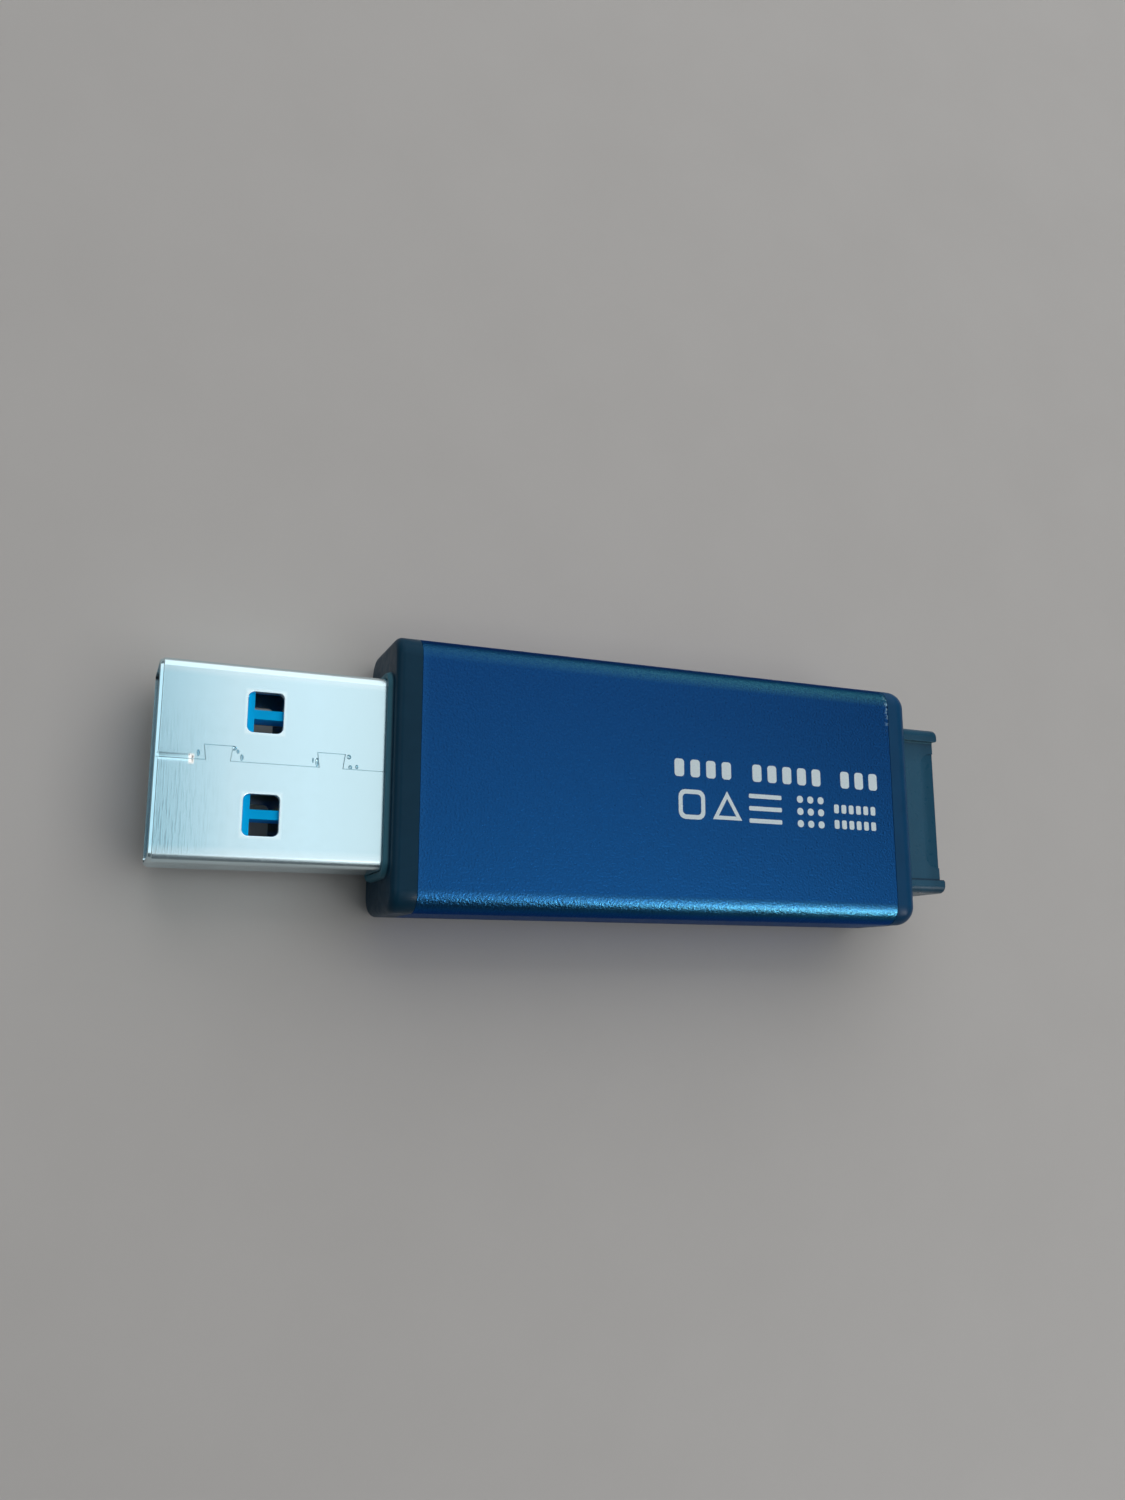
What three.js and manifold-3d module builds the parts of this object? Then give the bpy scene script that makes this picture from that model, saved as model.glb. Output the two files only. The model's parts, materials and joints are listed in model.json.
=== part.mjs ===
// A flash drive with a standard-A plug, lying on its flat underside with the plug's seam side up.
// Millimetres, +Z up. The part's frame is at the middle of the footprint, with +X out of the plug's
// mouth. Every piece is drawn in the plug's frame instead, on the drive's long axis: d is the distance
// back from the plug's tip, y is across and z is above the axis.

import * as THREE from "three";
import { mergeVertices } from "three/addons/utils/BufferGeometryUtils.js";
import Module from "manifold-3d";

const wasm = await Module();
wasm.setup();

// Driving dimensions
const LENGTH = 55.9;
const BODY = { width: 17.2, height: 7.2, edge: 1.4, front: 13.75, back: 52.3 };
const SLEEVE = { front: 15.33, back: 50.38, wall: 0.7 };
const BEZEL = { collarFront: 13.42, collarRim: 0.5, fillet: 0.55, spigotBack: 18.4, wallBack: 15.4 };
const RING = { fillet: 1.2, spigotFront: 49.1, wallFront: 50.3 };
const BAY = { width: 14, height: 5, corner: 0.5 }; // room behind the bezel's wall and ahead of the ring's
const POST = { width: 12.3, height: 4.5, edge: 0.6, end: 0.3, arm: 0.95, recess: 0.28, panelBack: 55.55 };
const POST_SLOPE = { length: 1.15, depth: 0.09, width: 9 }; // of the panel's end, above and below
const POST_FLANGE = { width: 13.6, height: 4.8, corner: 0.5 };
const POST_CHAMFER = { along: 0.35, across: 0.4 }; // of the arms' inner corners
const SHELL = { width: 12, height: 4.5, edge: 0.6, wall: 0.3, tubeBack: 15.2, back: 18.6, lip: 0.2 };
const ROOF_FOOT = 0.05; // where the shell's roof ends, above the axis
const LEG = { front: 16.2, back: 17.4, low: -1.5, high: 0.3 };
const WINDOW = { front: 5.1, length: 2.07, width: 2.44, y: 3.08, corner: 0.35 };
const SEAM = { width: 0.06, tabs: [[2.84, 4.23], [9.42, 10.85]], tabDepth: 0.9, dovetail: 0.12 };
const TONGUE = { front: 0.45, back: 12.65, face: 0.02, nose: 0.3, lowerNose: 0.5, corner: 0.35 };
const POCKET = { front: 5.52, back: 8.2, width: 1.44 };
const CONTACT = { thickness: 0.24, back: 18.2, neck: 0.5, neckLap: 0.8, pad: 1, padBack: 5.45 };
const SPRING = { pivot: 12.5, root: 0.12, thickness: 0.2, width: 0.6, pitch: 2 };
const SPRING_ARM = { bend: 11.6, touch: [9.3, 8.7], touchZ: -0.18, tip: 7.8, tipZ: 0.42 };
const SPRING_SLOT = { front: 7.4, width: 0.9, top: 1.15 };
const RETAINER = { front: 12.7, back: 15.2 };
const BOARD = { front: 15.6, back: 48.4, width: 13.6, thickness: 0.8, corner: 0.5, hole: 0.08 };
const CARRIER = { front: 18.5, back: 49, wall: 0.6, bayWidth: 12.4, endWall: 0.55 };
const PEG = { d: 46.6, y: 5.2, radius: 0.62, shoulder: 1.05, top: 0.6 };

const FIT = 0.04; // clearance between pieces that touch
const PAST = 1; // how far a cutter runs past the face that it cuts
const ARC_STEPS = 5; // segments in a rounded corner

// Materials
const finish = (color, roughness, metalness = 0) =>
  new THREE.MeshStandardMaterial({ color, roughness, metalness });
const blueAluminium = finish(0x14427a, 0.42, 0.75);
const darkPlastic = finish(0x17303f, 0.5);
const postPlastic = finish(0x2c4d5c, 0.45);
const stampedSteel = finish(0xd5dde0, 0.3, 0.95);
const bluePlastic = finish(0x12a0e6, 0.5);
const blackPlastic = finish(0x1b1d20, 0.6);
const goldPlate = finish(0xd9b25a, 0.3, 0.9);
const solderMask = finish(0x124a30, 0.5);
const packageBlack = finish(0x202226, 0.6);
const ceramic = finish(0xb99a70, 0.5);
const canSteel = finish(0xb8bcc0, 0.35, 0.8);

// Solids: three.js geometry in, manifold-3d joins and cuts, three.js geometry out.
function solidOf(geometry) {
  const loose = geometry.index ? geometry.toNonIndexed() : geometry;
  const plain = new THREE.BufferGeometry().setAttribute("position", loose.getAttribute("position"));
  const merged = mergeVertices(plain, 1e-4);
  const vertProperties = merged.getAttribute("position").array;
  const triVerts = new Uint32Array(merged.index.array);
  return new wasm.Manifold(new wasm.Mesh({ numProp: 3, vertProperties, triVerts }));
}

function geometryOf(solid) {
  const { vertProperties, triVerts } = solid.getMesh();
  const geometry = new THREE.BufferGeometry();
  geometry.setAttribute("position", new THREE.BufferAttribute(vertProperties, 3));
  geometry.setIndex(new THREE.BufferAttribute(triVerts, 1));
  geometry.computeVertexNormals();
  return geometry;
}

const joined = (solids) => solids.reduce((sum, solid) => sum.add(solid));
const cut = (solid, cutters) => cutters.reduce((rest, cutter) => rest.subtract(cutter), solid);

// A rounded rectangle centred on (x, y).
function roundedRectangle(width, height, radius, x = 0, y = 0) {
  const right = width / 2 - radius;
  const top = height / 2 - radius;
  return new THREE.Shape()
    .absarc(x + right, y + top, radius, 0, Math.PI / 2)
    .absarc(x - right, y + top, radius, Math.PI / 2, Math.PI)
    .absarc(x - right, y - top, radius, Math.PI, 1.5 * Math.PI)
    .absarc(x + right, y - top, radius, 1.5 * Math.PI, 2 * Math.PI);
}

const outline = (points) => new THREE.Shape(points.map(([x, y]) => new THREE.Vector2(x, y)));
const ascending = (a, b) => [Math.min(a, b), Math.max(a, b)];

// Extrudes a shape by depth, with its ends rounded by fillet inside the shape's own outline.
function extruded(shape, depth, fillet = 0) {
  const geometry = new THREE.ExtrudeGeometry(shape, {
    depth: depth - 2 * fillet,
    curveSegments: ARC_STEPS,
    bevelEnabled: fillet > 0,
    bevelThickness: fillet,
    bevelSize: fillet,
    bevelOffset: -fillet,
    bevelSegments: 4,
  });
  return geometry.translate(0, 0, fillet);
}

// A bar whose section is a shape in (y, z), from d = front to d = back.
function bar(section, front, back, fillet = 0) {
  const turn = new THREE.Matrix4().makeBasis(
    new THREE.Vector3(0, 1, 0),
    new THREE.Vector3(0, 0, 1),
    new THREE.Vector3(1, 0, 0),
  );
  return solidOf(extruded(section, back - front, fillet).applyMatrix4(turn).translate(-back, 0, 0));
}

// A plate whose outline is a shape in (-d, y), from z = low to z = high.
const plate = (shape, low, high) => solidOf(extruded(shape, high - low).translate(0, 0, low));

// A rib whose side view is a shape in (-d, z), width wide and centred on y.
const rib = (side, width, y = 0) =>
  solidOf(extruded(side, width).rotateX(Math.PI / 2).translate(0, y + width / 2, 0));

function block(front, back, y0, y1, z0, z1) {
  const geometry = new THREE.BoxGeometry(back - front, y1 - y0, z1 - z0);
  return solidOf(geometry.translate(-(front + back) / 2, (y0 + y1) / 2, (z0 + z1) / 2));
}

// Upright round pin on (d, y).
function pin(radius, d, y, z0, z1) {
  const geometry = new THREE.CylinderGeometry(radius, radius, z1 - z0, 16);
  return solidOf(geometry.rotateX(Math.PI / 2).translate(-d, y, (z0 + z1) / 2));
}

const drive = new THREE.Group();
drive.position.set(LENGTH / 2, 0, BODY.height / 2);

function place(name, solid, material) {
  const mesh = new THREE.Mesh(geometryOf(solid), material);
  mesh.name = name;
  drive.add(mesh);
}

// Outer casing: an extruded aluminium sleeve closed by a plastic bezel and a plastic ring.
const bodySection = roundedRectangle(BODY.width, BODY.height, BODY.edge);
const BORE = { width: BODY.width - 2 * SLEEVE.wall, height: BODY.height - 2 * SLEEVE.wall };
const BORE_EDGE = BODY.edge - SLEEVE.wall;
const spigotSection = roundedRectangle(BORE.width - 0.1, BORE.height - 0.1, BORE_EDGE);

function bodySleeve() {
  const hollow = roundedRectangle(BORE.width, BORE.height, BORE_EDGE);
  const bore = bar(hollow, SLEEVE.front - PAST, SLEEVE.back + PAST);
  return cut(bar(bodySection, SLEEVE.front, SLEEVE.back), [bore]);
}

// A socket for the plug's shell or the post, grown by the fit all round.
const socket = (piece, front, back) =>
  bar(roundedRectangle(piece.width + 2 * FIT, piece.height + 2 * FIT, piece.edge), front, back);

const bayCutter = (front, back) => bar(roundedRectangle(BAY.width, BAY.height, BAY.corner), front, back);

// A block wider and higher than the casing, for trimming it square.
const across = (front, back) => block(front, back, -BODY.width, BODY.width, -BODY.height, BODY.height);

function frontBezel() {
  const { collarFront, collarRim, fillet, spigotBack, wallBack } = BEZEL;
  const flangeBack = SLEEVE.front - FIT;
  const width = SHELL.width + 2 * collarRim;
  const height = SHELL.height + 2 * collarRim;
  const flange = bar(bodySection, BODY.front, flangeBack + 2 * PAST, fillet);
  const solid = joined([
    cut(flange, [across(flangeBack, flangeBack + 3 * PAST)]),
    bar(roundedRectangle(width, height, SHELL.edge + collarRim), collarFront, BODY.front + PAST),
    bar(spigotSection, BODY.front + PAST, spigotBack),
  ]);
  return cut(solid, [socket(SHELL, collarFront - PAST, spigotBack), bayCutter(wallBack, spigotBack + PAST)]);
}

function rearRing() {
  const { fillet, spigotFront, wallFront } = RING;
  const flangeFront = SLEEVE.back + FIT;
  const flange = bar(bodySection, flangeFront - 3 * PAST, BODY.back, fillet);
  const ahead = across(flangeFront - 4 * PAST, flangeFront);
  const solid = cut(flange, [ahead]).add(bar(spigotSection, spigotFront, flangeFront + FIT));
  return cut(solid, [socket(POST, spigotFront, BODY.back + PAST), bayCutter(spigotFront - PAST, wallFront)]);
}

// The post that the plug's cap is kept on: two side arms with a lower panel between them, held
// behind the ring by a flange.
function capPost() {
  const { width, height, edge, end, arm, recess, panelBack } = POST;
  const inside = width / 2 - arm;
  const face = height / 2 - recess;
  const envelope = bar(roundedRectangle(width, height, edge), RING.wallFront - PAST, LENGTH, end);
  const flangeSection = roundedRectangle(POST_FLANGE.width, POST_FLANGE.height, POST_FLANGE.corner);
  const flange = bar(flangeSection, RING.spigotFront + FIT, RING.wallFront - FIT);
  const cutters = [block(panelBack, LENGTH + PAST, -inside, inside, -height, height)];
  for (const side of [-1, 1]) {
    const above = ascending(side * face, side * height);
    const chamfer = outline([
      [-LENGTH + POST_CHAMFER.along, side * inside],
      [-LENGTH - PAST, side * inside],
      [-LENGTH - PAST, side * (inside + POST_CHAMFER.across)],
      [-LENGTH, side * (inside + POST_CHAMFER.across)],
    ]);
    cutters.push(block(RING.wallFront, LENGTH + PAST, -inside, inside, ...above));
    cutters.push(plate(chamfer, -height, height));
    cutters.push(slopeCutter(side, face, panelBack));
  }
  return cut(envelope.add(flange), cutters);
}

// The flat ramp that slopes the panel's end off, above or below.
function slopeCutter(side, face, back) {
  const { length, depth, width } = POST_SLOPE;
  const points = [
    [-back - PAST, side * (face + PAST)],
    [-back + length, side * (face + PAST)],
    [-back + length, side * face],
    [-back, side * (face - depth)],
    [-back - PAST, side * (face - depth)],
  ];
  return rib(outline(points), width);
}

// Plug shell: one stamping rolled into a tube and closed by a dovetailed seam along its top, with a
// window pair in both broad walls, a roof over the board and a solder leg each side.
function plugShell() {
  const { width, height, edge, wall, tubeBack, back, lip } = SHELL;
  const outer = bar(roundedRectangle(width, height, edge), 0, back + PAST, lip);
  const hollow = roundedRectangle(width - 2 * wall, height - 2 * wall, edge - wall);
  const half = width / 2;
  const tube = cut(outer, [
    bar(hollow, -PAST, back + 2 * PAST),
    block(back, back + 2 * PAST, -width, width, -height, height),
    block(tubeBack, back + 2 * PAST, -width, width, -height, ROOF_FOOT),
    seamSlit(),
    ...windowCutters(),
  ]);
  const legs = [-1, 1].map((side) => {
    const y = ascending(side * half, side * (half - wall));
    return block(LEG.front, LEG.back, ...y, LEG.low, LEG.high);
  });
  return joined([tube, ...legs]);
}

function windowCutters() {
  const { front, length, width, y, corner } = WINDOW;
  const opening = (side) => roundedRectangle(length, width, corner, -(front + length / 2), side * y);
  return [-1, 1].flatMap((side) => [
    plate(opening(side), SHELL.height / 2 - 2 * SHELL.wall, SHELL.height),
    plate(opening(side), -SHELL.height, -SHELL.height / 2 + 2 * SHELL.wall),
  ]);
}

// The seam's line from the tip to the rear, stepping round each dovetail tab, as a thin slit.
function seamSlit() {
  const { width, tabs, tabDepth, dovetail } = SEAM;
  const line = [[PAST, 0]];
  for (const [front, back] of tabs) {
    line.push([-front, 0], [-front + dovetail, -tabDepth], [-back - dovetail, -tabDepth], [-back, 0]);
  }
  line.push([-SHELL.back - PAST, 0]);
  return plate(outline(ribbon(line, width)), SHELL.height / 2 - 2 * SHELL.wall, SHELL.height);
}

// The closed outline of a line drawn with a pen of the given width, with mitred corners.
function ribbon(line, width) {
  const points = line.map(([x, y]) => new THREE.Vector2(x, y));
  const normals = points.slice(1).map((point, i) => {
    const along = point.clone().sub(points[i]).normalize();
    return new THREE.Vector2(-along.y, along.x);
  });
  const offsets = points.map((point, i) => {
    const before = normals[Math.max(i - 1, 0)];
    const after = normals[Math.min(i, normals.length - 1)];
    const mitre = before.clone().add(after).normalize();
    return mitre.multiplyScalar(width / 2 / mitre.dot(before));
  });
  const left = points.map((point, i) => point.clone().add(offsets[i]).toArray());
  const right = points.map((point, i) => point.clone().sub(offsets[i]).toArray());
  return [...left, ...right.reverse()];
}

// The plug's inside, from the axis up: a moulded tongue with flat contacts in grooves along its
// lower face and sprung contacts in slots, and a retainer that closes the back of the shell.
const TONGUE_TOP = SHELL.height / 2 - SHELL.wall - 0.03;
const TONGUE_WIDTH = SHELL.width - 2 * SHELL.wall - 0.1;
const TONGUE_SECTION = roundedRectangle(TONGUE_WIDTH, 2 * TONGUE_TOP, TONGUE.corner);
const SPRING_Y = [-2, -1, 0, 1, 2].map((step) => step * SPRING.pitch);

// Flat contacts, outer ones first to mate: a wide pad on the tongue and a narrow neck to the board.
const FLAT_CONTACTS = [
  { name: "power_contact", side: 1, pad: 3.5, neck: 3, front: 1.8 },
  { name: "data_minus_contact", side: 1, pad: 1, neck: 1, front: 2.6 },
  { name: "data_plus_contact", side: -1, pad: 1, neck: 1, front: 2.6 },
  { name: "ground_contact", side: -1, pad: 3.5, neck: 3, front: 1.8 },
];

function flatContact({ side, pad, neck, front }, grow = 0) {
  const { thickness, back, neck: neckWidth, pad: padWidth, padBack } = CONTACT;
  const low = TONGUE.face - grow;
  const high = TONGUE.face + thickness + grow;
  const strip = (y, width, from, to) => {
    const half = width / 2 + grow;
    return block(from - grow, to + grow, side * y - half, side * y + half, low, high);
  };
  const padStrip = strip(pad, padWidth, front, padBack);
  return padStrip.add(strip(neck, neckWidth, padBack - CONTACT.neckLap, back));
}

function plugTongue() {
  const { front, back, face, nose, lowerNose } = TONGUE;
  const side = outline([
    [-front, TONGUE_TOP - nose],
    [-front - nose, TONGUE_TOP],
    [-back, TONGUE_TOP],
    [-back, face],
    [-front - lowerNose, face],
    [-front, face + nose],
  ].reverse());
  const solid = rib(side, SHELL.width).intersect(bar(TONGUE_SECTION, 0, back + PAST));
  const opening = (y, width, from, to, top) => block(from, to, y - width / 2, y + width / 2, -PAST, top);
  const slots = SPRING_Y.map((y) =>
    opening(y, SPRING_SLOT.width, SPRING_SLOT.front, back + PAST, SPRING_SLOT.top));
  const pockets = SPRING_Y.filter((y) => y !== 0).map((y) =>
    opening(y, POCKET.width, POCKET.front, POCKET.back, TONGUE_TOP + PAST));
  const grooves = FLAT_CONTACTS.map((contact) => flatContact(contact, FIT));
  return cut(solid, [...slots, ...pockets, ...grooves]);
}

// A spring contact's arm bows below the tongue's face, and lifts about its pivot when mated.
function springContact(y) {
  const { pivot, root, thickness, width } = SPRING;
  const { bend, touch, touchZ, tip, tipZ } = SPRING_ARM;
  const rootZ = TONGUE.face + CONTACT.thickness / 2;
  const touching = touch.map((d) => [-d, touchZ]);
  const line = [[-pivot - root, rootZ], [-bend, rootZ], ...touching, [-tip, tipZ]];
  return rib(outline(ribbon(line, thickness)), width, y);
}

function springLead(y) {
  const half = CONTACT.neck / 2;
  const low = TONGUE.face;
  return block(RETAINER.front + FIT / 2, CONTACT.back, y - half, y + half, low, low + CONTACT.thickness);
}

function contactRetainer() {
  const { front, back } = RETAINER;
  const channels = [...SPRING_Y, -3, -1, 1, 3].map((y) => {
    const half = CONTACT.neck / 2 + FIT;
    const low = TONGUE.face - FIT;
    return block(front - PAST, back + PAST, y - half, y + half, low, low + CONTACT.thickness + 2 * FIT);
  });
  return cut(bar(TONGUE_SECTION, front, back), channels);
}

// Circuit board, with slots for the shell's legs and holes for the carrier's pegs.
const BOARD_TOP = TONGUE.face - FIT;
const BOARD_FOOT = BOARD_TOP - BOARD.thickness;

function circuitBoard() {
  const { front, back, width, corner, hole } = BOARD;
  const shape = roundedRectangle(back - front, width, corner, -(front + back) / 2);
  const half = SHELL.width / 2;
  const cutters = [-1, 1].flatMap((side) => {
    const y = ascending(side * (half + hole), side * (half - SHELL.wall - hole));
    return [
      block(LEG.front - hole, LEG.back + hole, ...y, BOARD_FOOT - PAST, BOARD_TOP + PAST),
      pin(PEG.radius + hole, PEG.d, side * PEG.y, BOARD_FOOT - PAST, BOARD_TOP + PAST),
    ];
  });
  return cut(plate(shape, BOARD_FOOT, BOARD_TOP), cutters);
}

// Carrier halves: trays that clamp the board by its edges inside the sleeve.
const CARRIER_FLOOR = BORE.height / 2 - 0.05 - CARRIER.wall;

function carrierHalf(low, high) {
  const keep = block(CARRIER.front - PAST, CARRIER.back + PAST, -BODY.width, BODY.width, low, high);
  return bar(spigotSection, CARRIER.front, CARRIER.back).intersect(keep);
}

function bay(width, z0, z1) {
  return block(CARRIER.front - PAST, CARRIER.back - CARRIER.endWall, -width / 2, width / 2, z0, z1);
}

function carrierLower() {
  const tray = cut(carrierHalf(-BODY.height, BOARD_TOP), [
    bay(CARRIER.bayWidth, -CARRIER_FLOOR, PAST),
    bay(BOARD.width + 0.1, BOARD_FOOT - FIT, PAST),
  ]);
  const foot = -CARRIER_FLOOR - 0.1;
  const pegs = [-1, 1].flatMap((side) => [
    pin(PEG.shoulder, PEG.d, side * PEG.y, foot, BOARD_FOOT - FIT),
    pin(PEG.radius, PEG.d, side * PEG.y, foot, PEG.top),
  ]);
  return joined([tray, ...pegs]);
}

const carrierUpper = () =>
  cut(carrierHalf(BOARD_TOP + FIT, BODY.height), [bay(CARRIER.bayWidth, -PAST, CARRIER_FLOOR)]);

// Parts on the board: centre d and y, length along the drive, width and height, and which face.
const STAND = 0.02; // solder film under a part
const BOARD_PARTS = [
  { name: "memory_chip", d: 34, y: 0, size: [18, 12, 1.05], side: 1, material: packageBlack },
  { name: "controller_chip", d: 25, y: 0, size: [7, 7, 0.85], side: -1, material: packageBlack },
  { name: "clock_crystal", d: 31.6, y: 3.4, size: [3.2, 2.5, 0.75], side: -1, material: canSteel },
  { name: "voltage_regulator", d: 21.9, y: 4.2, size: [2.9, 1.6, 1.0], side: 1, material: packageBlack },
  { name: "power_inductor", d: 21.9, y: -4.2, size: [2.5, 2, 1.1], side: 1, material: packageBlack },
  { name: "bypass_capacitor_1", d: 20.6, y: 1.9, size: [0.8, 1.6, 0.8], side: 1, material: ceramic },
  { name: "bypass_capacitor_2", d: 20.6, y: -1.9, size: [0.8, 1.6, 0.8], side: 1, material: ceramic },
  { name: "bypass_capacitor_3", d: 19.2, y: -4.6, size: [0.8, 1.6, 0.8], side: -1, material: ceramic },
  { name: "bypass_capacitor_4", d: 19.2, y: 4.6, size: [0.8, 1.6, 0.8], side: -1, material: ceramic },
  { name: "bulk_capacitor", d: 44.8, y: 0, size: [1.6, 3.2, 1.3], side: 1, material: ceramic },
  { name: "pull_up_resistor_1", d: 22.6, y: 0.7, size: [1, 0.5, 0.35], side: 1, material: packageBlack },
  { name: "pull_up_resistor_2", d: 22.6, y: -0.7, size: [1, 0.5, 0.35], side: 1, material: packageBlack },
  { name: "load_capacitor_1", d: 31.6, y: 0.9, size: [1, 0.5, 0.5], side: -1, material: ceramic },
  { name: "load_capacitor_2", d: 31.6, y: 5.6, size: [1, 0.5, 0.5], side: -1, material: ceramic },
];

function boardPart({ d, y, size: [length, width, height], side }) {
  const base = side > 0 ? BOARD_TOP + STAND : BOARD_FOOT - STAND - height;
  return block(d - length / 2, d + length / 2, y - width / 2, y + width / 2, base, base + height);
}

// Assembly
place("body_sleeve", bodySleeve(), blueAluminium);
place("front_bezel", frontBezel(), darkPlastic);
place("rear_ring", rearRing(), darkPlastic);
place("cap_post", capPost(), postPlastic);
place("plug_shell", plugShell(), stampedSteel);
place("plug_tongue", plugTongue(), bluePlastic);
place("contact_retainer", contactRetainer(), bluePlastic);
for (const contact of FLAT_CONTACTS) {
  place(contact.name, flatContact(contact), goldPlate);
}
SPRING_Y.forEach((y, i) => {
  place(`spring_contact_${i + 1}`, springContact(y), goldPlate);
  place(`spring_lead_${i + 1}`, springLead(y), goldPlate);
});
place("circuit_board", circuitBoard(), solderMask);
place("carrier_lower", carrierLower(), blackPlastic);
place("carrier_upper", carrierUpper(), blackPlastic);
for (const part of BOARD_PARTS) {
  place(part.name, boardPart(part), part.material);
}

export default new THREE.Group().add(drive);
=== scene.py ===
"""The looks of a flash drive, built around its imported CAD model.

Pieces are drawn in millimetres on the drive's long axis: x is minus the distance back from the plug's tip,
y is across and z is above the axis. piece() turns them into metres in the CAD frame.
"""

import json
import math

import bmesh
import bpy
from mathutils import Matrix, Vector


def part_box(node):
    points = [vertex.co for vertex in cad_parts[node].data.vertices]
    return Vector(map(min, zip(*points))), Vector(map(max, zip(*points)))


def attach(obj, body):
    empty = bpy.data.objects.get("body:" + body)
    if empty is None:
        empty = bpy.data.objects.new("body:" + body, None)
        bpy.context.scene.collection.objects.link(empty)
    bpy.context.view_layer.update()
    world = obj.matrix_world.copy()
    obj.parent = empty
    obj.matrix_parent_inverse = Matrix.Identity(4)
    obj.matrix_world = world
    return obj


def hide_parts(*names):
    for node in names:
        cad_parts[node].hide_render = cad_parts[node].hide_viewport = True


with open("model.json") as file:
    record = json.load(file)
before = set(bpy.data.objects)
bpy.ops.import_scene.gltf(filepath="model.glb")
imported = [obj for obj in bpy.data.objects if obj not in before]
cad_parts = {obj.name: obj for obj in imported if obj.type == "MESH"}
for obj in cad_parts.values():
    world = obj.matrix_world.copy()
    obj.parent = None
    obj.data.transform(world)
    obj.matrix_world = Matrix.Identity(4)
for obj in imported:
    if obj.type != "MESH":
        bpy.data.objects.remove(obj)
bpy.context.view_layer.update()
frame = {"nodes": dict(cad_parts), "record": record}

# ---------------------------------------------------------------- Sizes, in millimetres

MM = 0.001


def span(node):
    """A CAD node's box on the drive's long axis: lowest and highest corner."""
    low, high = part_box(node)
    return low / MM - ORIGIN, high / MM - ORIGIN


sleeve_low, sleeve_high = (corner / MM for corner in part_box("body_sleeve"))
ORIGIN = Vector((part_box("plug_shell")[1].x / MM, 0, (sleeve_low.z + sleeve_high.z) / 2))
TO_FRAME = Matrix.Scale(MM, 4) @ Matrix.Translation(ORIGIN)

SLEEVE_LOW, SLEEVE_HIGH = span("body_sleeve")
BEZEL_LOW, BEZEL_HIGH = span("front_bezel")
RING_LOW, RING_HIGH = span("rear_ring")
POST_LOW, POST_HIGH = span("cap_post")
SHELL_LOW, SHELL_HIGH = span("plug_shell")
TONGUE_LOW, TONGUE_HIGH = span("plug_tongue")

WALL = 0.7  # of the sleeve
EDGE = 1.4  # radius of the sleeve's long edges
FIT = 0.04  # between pieces that touch
JOINT = 0.005  # between the sleeve and the mouldings at its ends
COLLAR = 0.33  # how far the bezel's collar stands out
CORNER_STEPS = 12
BODY = (SLEEVE_HIGH.y, SLEEVE_HIGH.z, EDGE)
BORE = (BODY[0] - WALL, BODY[1] - WALL, EDGE - WALL)
SPIGOT = (BORE[0] - 0.05, BORE[1] - 0.05, BORE[2] - 0.02)
SHELL = (SHELL_HIGH.y, SHELL_HIGH.z, 0.6)
SHELL_WALL = 0.3
POST = (6.15, 2.25, 0.6)
ARM = 0.95  # how wide each of the post's arms is
PANEL_IN = 0.35  # from the post's end to the end of its panel
FLANGE_IN = 0.12  # from the sleeve's back end to the back of the post's flange
WINDOW = (1.035, 1.22, 0.35)  # half length, half width and corner radius of a window of the plug
WINDOW_D, WINDOW_Y = 6.135, 3.08  # its middle, back from the tip and across
SEAM_TABS = ((2.84, 4.23), (9.42, 10.85))  # from and to, back from the tip
TAB_DEPTH = 0.9
FURROW_END = 2.05  # back from the tip

# ---------------------------------------------------------------- Mesh helpers


def mesh_object(name, bm):
    bmesh.ops.recalc_face_normals(bm, faces=bm.faces)
    mesh = bpy.data.meshes.new(name)
    bm.to_mesh(mesh)
    bm.free()
    obj = bpy.data.objects.new(name, mesh)
    bpy.context.scene.collection.objects.link(obj)
    return obj


def bridge(bm, one, other):
    """Faces all round between two loops of the same length."""
    for i in range(len(one)):
        j = (i + 1) % len(one)
        bm.faces.new((one[i], one[j], other[j], other[i]))


def outline(half_width, half_height, radius, steps=CORNER_STEPS):
    """Points (y, z) round a rounded rectangle, anticlockwise."""
    points = []
    for quarter, (sy, sz) in enumerate(((1, 1), (-1, 1), (-1, -1), (1, -1))):
        centre = Vector((sy * (half_width - radius), sz * (half_height - radius)))
        for step in range(steps + 1):
            angle = (quarter + step / steps) * math.pi / 2
            points.append(centre + radius * Vector((math.cos(angle), math.sin(angle))))
    return points


def grown(section, by):
    """The section (half width, half height, corner radius) grown all round, or shrunk if by is below 0."""
    half_width, half_height, radius = section
    return half_width + by, half_height + by, max(radius + by, 0.02)


def loft(name, stations, closed):
    """A skin over stations (x, section). It joins its last station to its first if closed, else it has flat
    ends."""
    bm = bmesh.new()
    rings = []
    for x, section in stations:
        rings.append([bm.verts.new((x, p.x, p.y)) for p in outline(*section)])
    pairs = list(zip(rings, rings[1:] + rings[:1])) if closed else list(zip(rings, rings[1:]))
    for ring, following in pairs:
        bridge(bm, ring, following)
    if not closed:
        bm.faces.new(rings[0])
        bm.faces.new(rings[-1])
    return mesh_object(name, bm)


def arc(x, section, radius, start, end, steps=6, facing=1):
    """Stations round an outer edge at x that faces the tip (1) or the rear (-1), from start to end in
    degrees: at 0 the edge's flat end face, at 90 the section's full size."""
    stations = []
    for step in range(steps + 1):
        angle = math.radians(start + (end - start) * step / steps)
        inset = radius * (1 - math.sin(angle))
        stations.append((x - facing * radius * (1 - math.cos(angle)), grown(section, -inset)))
    return stations


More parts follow.
